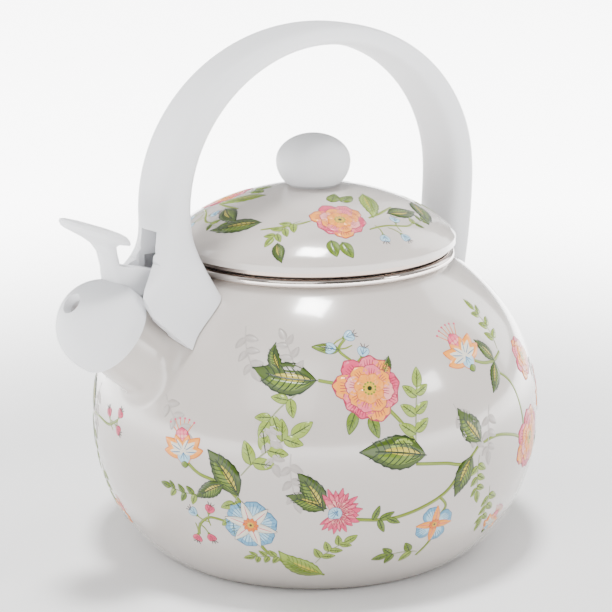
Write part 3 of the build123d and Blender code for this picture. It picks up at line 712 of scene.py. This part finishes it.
# ---------------------------------------------------------------- floor, light and camera


def studio_floor():
    """Pale slab that glows more and more away from the kettle, so that it ends in white; the weak glow round
    the kettle is a painted soft contact shadow.
    """
    mesh = bpy.data.meshes.new("floor")
    half, low = 6.0, -0.02
    corners = [(-half, -half), (half, -half), (half, half), (-half, half)]
    verts = [(x, y, z) for z in (0.0, low) for x, y in corners]
    faces = [(0, 1, 2, 3), (7, 6, 5, 4)] + [(i, i + 4, (i + 1) % 4 + 4, (i + 1) % 4) for i in range(4)]
    mesh.from_pydata(verts, [], faces)
    obj = bpy.data.objects.new("floor", mesh)
    bpy.context.scene.collection.objects.link(obj)
    paper = material("floor_paper", (0.95, 0.95, 0.95), 0.9, grain=300, bump=0.02, tint=0.004)
    tree = paper.node_tree
    place = tree.nodes.new("ShaderNodeTexCoord")
    reach = tree.nodes.new("ShaderNodeVectorMath")
    reach.operation = "LENGTH"
    glow = tree.nodes.new("ShaderNodeMapRange")
    glow.interpolation_type = "SMOOTHSTEP"
    # Little glow within 0.18 m of the kettle: painted contact shadow, which also keeps the floor from
    # lighting the kettle from below
    glow.inputs["From Min"].default_value = 0.18
    glow.inputs["From Max"].default_value = 0.80
    glow.inputs["To Min"].default_value = 0.02
    glow.inputs["To Max"].default_value = 7.0
    tree.links.new(place.outputs["Object"], reach.inputs[0])
    tree.links.new(reach.outputs["Value"], glow.inputs["Value"])
    tree.links.new(glow.outputs["Result"], tree.nodes["Principled BSDF"].inputs["Emission Strength"])
    tree.nodes["Principled BSDF"].inputs["Emission Color"].default_value = (1.0, 1.0, 1.0, 1.0)
    obj.data.materials.append(paper)
    obj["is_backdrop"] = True


# Softboxes: place, width, height, power
AIM = Vector((0, 0, 0.1))
SOFTBOXES = {
    "overhead": ((-0.05, -0.03, 2.3), 0.42, 0.42, 68),
    "window": ((0.87, -1.57, 0.97), 0.34, 0.34, 10),
    "key": ((-1.7, -1.1, 1.7), 1.6, 1.6, 22),
    "fill_right": ((2.0, 0.1, 1.0), 1.0, 1.6, 20),
    "rim_left": ((-1.5, 1.5, 0.9), 1.0, 1.8, 26),
}


def softbox(name, place, width, height, power):
    """Rectangular lamp aimed at the kettle."""
    lamp = bpy.data.lights.new(name, "AREA")
    lamp.shape = "RECTANGLE"
    lamp.size, lamp.size_y = width, height
    lamp.energy = power
    obj = bpy.data.objects.new(name, lamp)
    obj.location = place
    obj.rotation_euler = (Vector(place) - AIM).to_track_quat("Z", "Y").to_euler()
    bpy.context.scene.collection.objects.link(obj)


studio_floor()
for name, row in SOFTBOXES.items():
    softbox(name, *row)


def studio_world():
    """White room that is darker towards the camera."""
    world = bpy.data.worlds.new("studio")
    world.use_nodes = True
    tree = world.node_tree
    way = tree.nodes.new("ShaderNodeTexCoord")
    facing = tree.nodes.new("ShaderNodeVectorMath")
    facing.operation = "DOT_PRODUCT"
    facing.inputs[1].default_value = (-0.40, -0.90, -0.10)
    dim = tree.nodes.new("ShaderNodeMapRange")
    dim.inputs["From Min"].default_value = 0.05
    dim.inputs["From Max"].default_value = 0.95
    dim.inputs["To Min"].default_value = 0.72
    dim.inputs["To Max"].default_value = 0.06
    tree.links.new(way.outputs["Generated"], facing.inputs[0])
    tree.links.new(facing.outputs["Value"], dim.inputs["Value"])
    tree.links.new(dim.outputs["Result"], tree.nodes["Background"].inputs["Strength"])
    tree.nodes["Background"].inputs["Color"].default_value = (1.0, 1.0, 1.0, 1.0)
    return world


bpy.context.scene.world = studio_world()

AZIMUTH, ELEVATION, ROLL = math.radians(-38.2), math.radians(14.65), math.radians(-0.39)
DISTANCE, FOCAL_LENGTH, SENSOR_WIDTH = 0.900, 118.4, 36.0
TARGET_ACROSS, TARGET_Z = -0.0036, 0.1058

across = Vector((math.cos(AZIMUTH), math.sin(AZIMUTH), 0))
level = math.cos(ELEVATION)
back = Vector((math.sin(AZIMUTH) * level, -math.cos(AZIMUTH) * level, math.sin(ELEVATION)))
target = across * TARGET_ACROSS + Vector((0, 0, TARGET_Z))
lens = bpy.data.cameras.new("camera")
lens.lens, lens.sensor_width = FOCAL_LENGTH, SENSOR_WIDTH
camera = bpy.data.objects.new("camera", lens)
facing = back.to_track_quat("Z", "Y").to_matrix().to_4x4() @ Matrix.Rotation(ROLL, 4, "Z")
camera.matrix_world = Matrix.Translation(target + back * DISTANCE) @ facing
bpy.context.scene.collection.objects.link(camera)
bpy.context.scene.camera = camera

bounds_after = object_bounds()


def plain(value):
    """Bounds as plain lists of numbers."""
    if isinstance(value, dict):
        return {k: plain(v) for k, v in value.items()}
    if hasattr(value, "__len__"):
        return [plain(v) for v in value]
    return float(value)


{"cad": plain(bounds_before), "scene": plain(bounds_after)}
